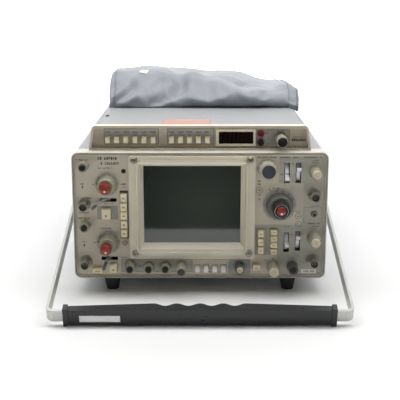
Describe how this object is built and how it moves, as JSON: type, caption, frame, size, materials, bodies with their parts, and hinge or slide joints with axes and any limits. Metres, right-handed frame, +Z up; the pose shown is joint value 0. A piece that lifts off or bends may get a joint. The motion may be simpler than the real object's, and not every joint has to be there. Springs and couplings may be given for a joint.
{
  "type": "oscilloscope",
  "caption": "Portable two-channel oscilloscope with turning controls, push buttons, a top counter unit, a swinging bail handle and a soft accessory pouch.",
  "frame": {"origin": "centre of the footprint of the whole object, handle resting on the table, at the height of the table", "axes": "+X to the right as the user faces the controls, +Y from the control panel to the rear panel, +Z up"},
  "size_m": [0.3324, 0.5708, 0.2416],
  "materials": {
    "cast_cream": "satin",
    "panel_paint": "matt",
    "bezel_plastic": "satin",
    "crt_filter_glass": "gloss",
    "crt_glass": "gloss",
    "screw_steel": "satin",
    "top_unit_paint": "satin",
    "display_plastic": "satin",
    "jack_plastic": "gloss",
    "connector_nickel": "satin",
    "switch_plastic": "matt",
    "board_green": "satin",
    "transformer_iron": "matt",
    "cabinet_vinyl": "matt grained",
    "rear_metal": "satin",
    "black_plastic": "matt",
    "foot_rubber": "matt",
    "hub_plastic": "satin",
    "handle_aluminium": "satin",
    "grip_plastic": "satin",
    "pouch_vinyl": "satin grained",
    "knob_grey": "satin",
    "knob_dark": "satin",
    "knob_red": "gloss",
    "lever_metal": "satin",
    "lever_grey": "satin",
    "button_ivory": "satin",
    "button_white": "satin"
  },
  "bodies": {
    "instrument": {"front_casting": "cast_cream", "front_panel": "panel_paint", "crt_bezel": "bezel_plastic", "crt_filter": "crt_filter_glass", "crt_tube": "crt_glass", "bezel_screws": "screw_steel", "top_bezel": "top_unit_paint", "display_module": "display_plastic", "banana_jacks": "jack_plastic", "bnc_connectors": "connector_nickel", "control_bodies": "switch_plastic", "circuit_boards": "board_green", "power_transformer": "transformer_iron", "cabinet_shell": "cabinet_vinyl", "rear_panel": "rear_metal", "fan_housing": "black_plastic", "power_inlet": "black_plastic", "rear_feet": "foot_rubber", "bottom_feet": "foot_rubber", "handle_hubs": "hub_plastic", "pouch": "pouch_vinyl"},
    "handle": {"handle_bar": "handle_aluminium", "handle_grip": "grip_plastic"},
    "fan": {"fan_rotor": "black_plastic"},
    "ch1_coupling_lever": {"ch1_coupling_lever": "lever_grey"},
    "ch2_coupling_lever": {"ch2_coupling_lever": "lever_grey"},
    "delayed_slope_lever": {"delayed_slope_lever": "lever_metal"},
    "delayed_source_lever": {"delayed_source_lever": "lever_metal"},
    "trigger_slope_lever": {"trigger_slope_lever": "lever_metal"},
    "trigger_source_lever": {"trigger_source_lever": "lever_metal"},
    "counter_function_buttons": {"counter_function_buttons": "button_ivory"},
    "counter_range_buttons": {"counter_range_buttons": "button_ivory"},
    "display_mode_buttons": {"display_mode_buttons": "button_ivory"},
    "storage_buttons": {"storage_buttons": "button_white"},
    "sweep_mode_buttons": {"sweep_mode_buttons": "button_ivory"},
    "trigger_mode_buttons": {"trigger_mode_buttons": "button_ivory"},
    "invert_button": {"invert_button": "button_ivory"},
    "bandwidth_button": {"bandwidth_button": "button_ivory"},
    "trigger_view_button": {"trigger_view_button": "button_ivory"},
    "beam_find_button": {"beam_find_button": "button_ivory"},
    "ch1_position_knob": {"ch1_position_knob": "knob_grey"},
    "ch2_position_knob": {"ch2_position_knob": "knob_grey"},
    "ch1_volts_knob": {"ch1_volts_knob": "knob_grey"},
    "ch1_variable_knob": {"ch1_variable_knob": "knob_red"},
    "ch2_volts_knob": {"ch2_volts_knob": "knob_grey"},
    "ch2_variable_knob": {"ch2_variable_knob": "knob_red"},
    "delta_time_knob": {"delta_time_knob": "knob_grey"},
    "intensity_knob": {"intensity_knob": "knob_grey"},
    "focus_knob": {"focus_knob": "knob_grey"},
    "scale_light_knob": {"scale_light_knob": "knob_grey"},
    "trace_rotation_knob": {"trace_rotation_knob": "knob_grey"},
    "storage_level_knob": {"storage_level_knob": "knob_dark"},
    "delay_dial": {"delay_dial": "knob_grey"},
    "delayed_level_knob": {"delayed_level_knob": "knob_grey"},
    "trigger_level_knob": {"trigger_level_knob": "knob_grey"},
    "holdoff_knob": {"holdoff_knob": "knob_grey"},
    "horizontal_position_knob": {"horizontal_position_knob": "knob_dark"},
    "time_skirt_knob": {"time_skirt_knob": "knob_grey"},
    "time_ring_knob": {"time_ring_knob": "knob_dark"},
    "time_variable_knob": {"time_variable_knob": "knob_red"}
  },
  "joints": [
    {"name": "handle_swing", "type": "hinge", "parent": "instrument", "child": "handle", "pos_m": [0, -0.01156, 0.083], "axis": [-1, 0, 0], "range_deg": [-30, 150]},
    {"name": "fan_spin", "type": "hinge", "parent": "instrument", "child": "fan", "pos_m": [-0.058, 0.24694, 0.092], "axis": [0, 1, 0], "continuous": true},
    {"name": "ch1_coupling_throw", "type": "hinge", "parent": "instrument", "child": "ch1_coupling_lever", "pos_m": [-0.105, -0.16756, 0.1122], "axis": [0, 0, 1], "range_deg": [0, 84]},
    {"name": "ch2_coupling_throw", "type": "hinge", "parent": "instrument", "child": "ch2_coupling_lever", "pos_m": [-0.105, -0.16756, 0.0423], "axis": [0, 0, 1], "range_deg": [-30, 54]},
    {"name": "delayed_slope_throw", "type": "hinge", "parent": "instrument", "child": "delayed_slope_lever", "pos_m": [0.0989, -0.15956, 0.1438], "axis": [1, 0, 0], "range_deg": [-36, 0]},
    {"name": "delayed_source_throw", "type": "hinge", "parent": "instrument", "child": "delayed_source_lever", "pos_m": [0.1119, -0.15956, 0.1438], "axis": [1, 0, 0], "range_deg": [-4, 32]},
    {"name": "trigger_slope_throw", "type": "hinge", "parent": "instrument", "child": "trigger_slope_lever", "pos_m": [0.1, -0.15956, 0.062], "axis": [1, 0, 0], "range_deg": [-26, 10]},
    {"name": "trigger_source_throw", "type": "hinge", "parent": "instrument", "child": "trigger_source_lever", "pos_m": [0.1128, -0.15956, 0.0634], "axis": [1, 0, 0], "range_deg": [-4, 32]},
    {"name": "counter_function_buttons_press", "type": "slide", "parent": "instrument", "child": "counter_function_buttons", "axis": [0, 1, 0], "range_m": [0, 0.0035], "stiffness_N_per_m": 250},
    {"name": "counter_range_buttons_press", "type": "slide", "parent": "instrument", "child": "counter_range_buttons", "axis": [0, 1, 0], "range_m": [0, 0.0035], "stiffness_N_per_m": 250},
    {"name": "display_mode_buttons_press", "type": "slide", "parent": "instrument", "child": "display_mode_buttons", "axis": [0, 1, 0], "range_m": [0, 0.0025], "stiffness_N_per_m": 250},
    {"name": "storage_buttons_press", "type": "slide", "parent": "instrument", "child": "storage_buttons", "axis": [0, 1, 0], "range_m": [0, 0.0025], "stiffness_N_per_m": 250},
    {"name": "sweep_mode_buttons_press", "type": "slide", "parent": "instrument", "child": "sweep_mode_buttons", "axis": [0, 1, 0], "range_m": [0, 0.0025], "stiffness_N_per_m": 250},
    {"name": "trigger_mode_buttons_press", "type": "slide", "parent": "instrument", "child": "trigger_mode_buttons", "axis": [0, 1, 0], "range_m": [0, 0.0025], "stiffness_N_per_m": 250},
    {"name": "invert_button_press", "type": "slide", "parent": "instrument", "child": "invert_button", "axis": [0, 1, 0], "range_m": [0, 0.0025], "stiffness_N_per_m": 250},
    {"name": "bandwidth_button_press", "type": "slide", "parent": "instrument", "child": "bandwidth_button", "axis": [0, 1, 0], "range_m": [0, 0.0025], "stiffness_N_per_m": 250},
    {"name": "trigger_view_button_press", "type": "slide", "parent": "instrument", "child": "trigger_view_button", "axis": [0, 1, 0], "range_m": [0, 0.0025], "stiffness_N_per_m": 250},
    {"name": "beam_find_button_press", "type": "slide", "parent": "instrument", "child": "beam_find_button", "axis": [0, 1, 0], "range_m": [0, 0.0025], "stiffness_N_per_m": 250},
    {"name": "ch1_position_turn", "type": "hinge", "parent": "instrument", "child": "ch1_position_knob", "pos_m": [-0.132, -0.18156, 0.1525], "axis": [0, 1, 0], "range_deg": [-150, 150]},
    {"name": "ch2_position_turn", "type": "hinge", "parent": "instrument", "child": "ch2_position_knob", "pos_m": [-0.132, -0.18156, 0.083], "axis": [0, 1, 0], "range_deg": [-150, 150]},
    {"name": "ch1_volts_turn", "type": "hinge", "parent": "instrument", "child": "ch1_volts_knob", "pos_m": [-0.106, -0.18156, 0.131], "axis": [0, 1, 0], "range_deg": [-150, 150]},
    {"name": "ch1_variable_turn", "type": "hinge", "parent": "instrument", "child": "ch1_variable_knob", "pos_m": [-0.106, -0.18156, 0.131], "axis": [0, 1, 0], "range_deg": [-270, 0]},
    {"name": "ch2_volts_turn", "type": "hinge", "parent": "instrument", "child": "ch2_volts_knob", "pos_m": [-0.106, -0.18156, 0.062], "axis": [0, 1, 0], "range_deg": [-150, 150]},
    {"name": "ch2_variable_turn", "type": "hinge", "parent": "instrument", "child": "ch2_variable_knob", "pos_m": [-0.106, -0.18156, 0.062], "axis": [0, 1, 0], "range_deg": [-270, 0]},
    {"name": "delta_time_turn", "type": "hinge", "parent": "instrument", "child": "delta_time_knob", "pos_m": [0.0927, -0.16156, 0.18], "axis": [0, 1, 0], "range_deg": [-150, 150]},
    {"name": "intensity_turn", "type": "hinge", "parent": "instrument", "child": "intensity_knob", "pos_m": [-0.0808, -0.18156, 0.034], "axis": [0, 1, 0], "range_deg": [-150, 150]},
    {"name": "focus_turn", "type": "hinge", "parent": "instrument", "child": "focus_knob", "pos_m": [-0.0595, -0.18156, 0.0323], "axis": [0, 1, 0], "range_deg": [-150, 150]},
    {"name": "scale_light_turn", "type": "hinge", "parent": "instrument", "child": "scale_light_knob", "pos_m": [-0.0402, -0.18156, 0.0326], "axis": [0, 1, 0], "range_deg": [-150, 150]},
    {"name": "trace_rotation_turn", "type": "hinge", "parent": "instrument", "child": "trace_rotation_knob", "pos_m": [-0.0216, -0.18156, 0.0337], "axis": [0, 1, 0], "range_deg": [-150, 150]},
    {"name": "storage_level_turn", "type": "hinge", "parent": "instrument", "child": "storage_level_knob", "pos_m": [0.046, -0.18156, 0.0327], "axis": [0, 1, 0], "range_deg": [-150, 150]},
    {"name": "delay_dial_turn", "type": "hinge", "parent": "instrument", "child": "delay_dial", "pos_m": [0.0772, -0.18156, 0.148], "axis": [0, 1, 0], "range_deg": [-150, 150]},
    {"name": "delayed_level_turn", "type": "hinge", "parent": "instrument", "child": "delayed_level_knob", "pos_m": [0.131, -0.18156, 0.145], "axis": [0, 1, 0], "range_deg": [-150, 150]},
    {"name": "trigger_level_turn", "type": "hinge", "parent": "instrument", "child": "trigger_level_knob", "pos_m": [0.131, -0.18156, 0.068], "axis": [0, 1, 0], "range_deg": [-150, 150]},
    {"name": "holdoff_turn", "type": "hinge", "parent": "instrument", "child": "holdoff_knob", "pos_m": [0.0848, -0.18156, 0.0325], "axis": [0, 1, 0], "range_deg": [-150, 150]},
    {"name": "horizontal_position_turn", "type": "hinge", "parent": "instrument", "child": "horizontal_position_knob", "pos_m": [0.1073, -0.18156, 0.0333], "axis": [0, 1, 0], "range_deg": [-150, 150]},
    {"name": "time_skirt_turn", "type": "hinge", "parent": "instrument", "child": "time_skirt_knob", "pos_m": [0.091, -0.18156, 0.106], "axis": [0, 1, 0], "range_deg": [-165, 165]},
    {"name": "time_ring_turn", "type": "hinge", "parent": "instrument", "child": "time_ring_knob", "pos_m": [0.091, -0.18156, 0.106], "axis": [0, 1, 0], "range_deg": [-165, 165]},
    {"name": "time_variable_turn", "type": "hinge", "parent": "instrument", "child": "time_variable_knob", "pos_m": [0.091, -0.18156, 0.106], "axis": [0, 1, 0], "range_deg": [-270, 0]}
  ]
}
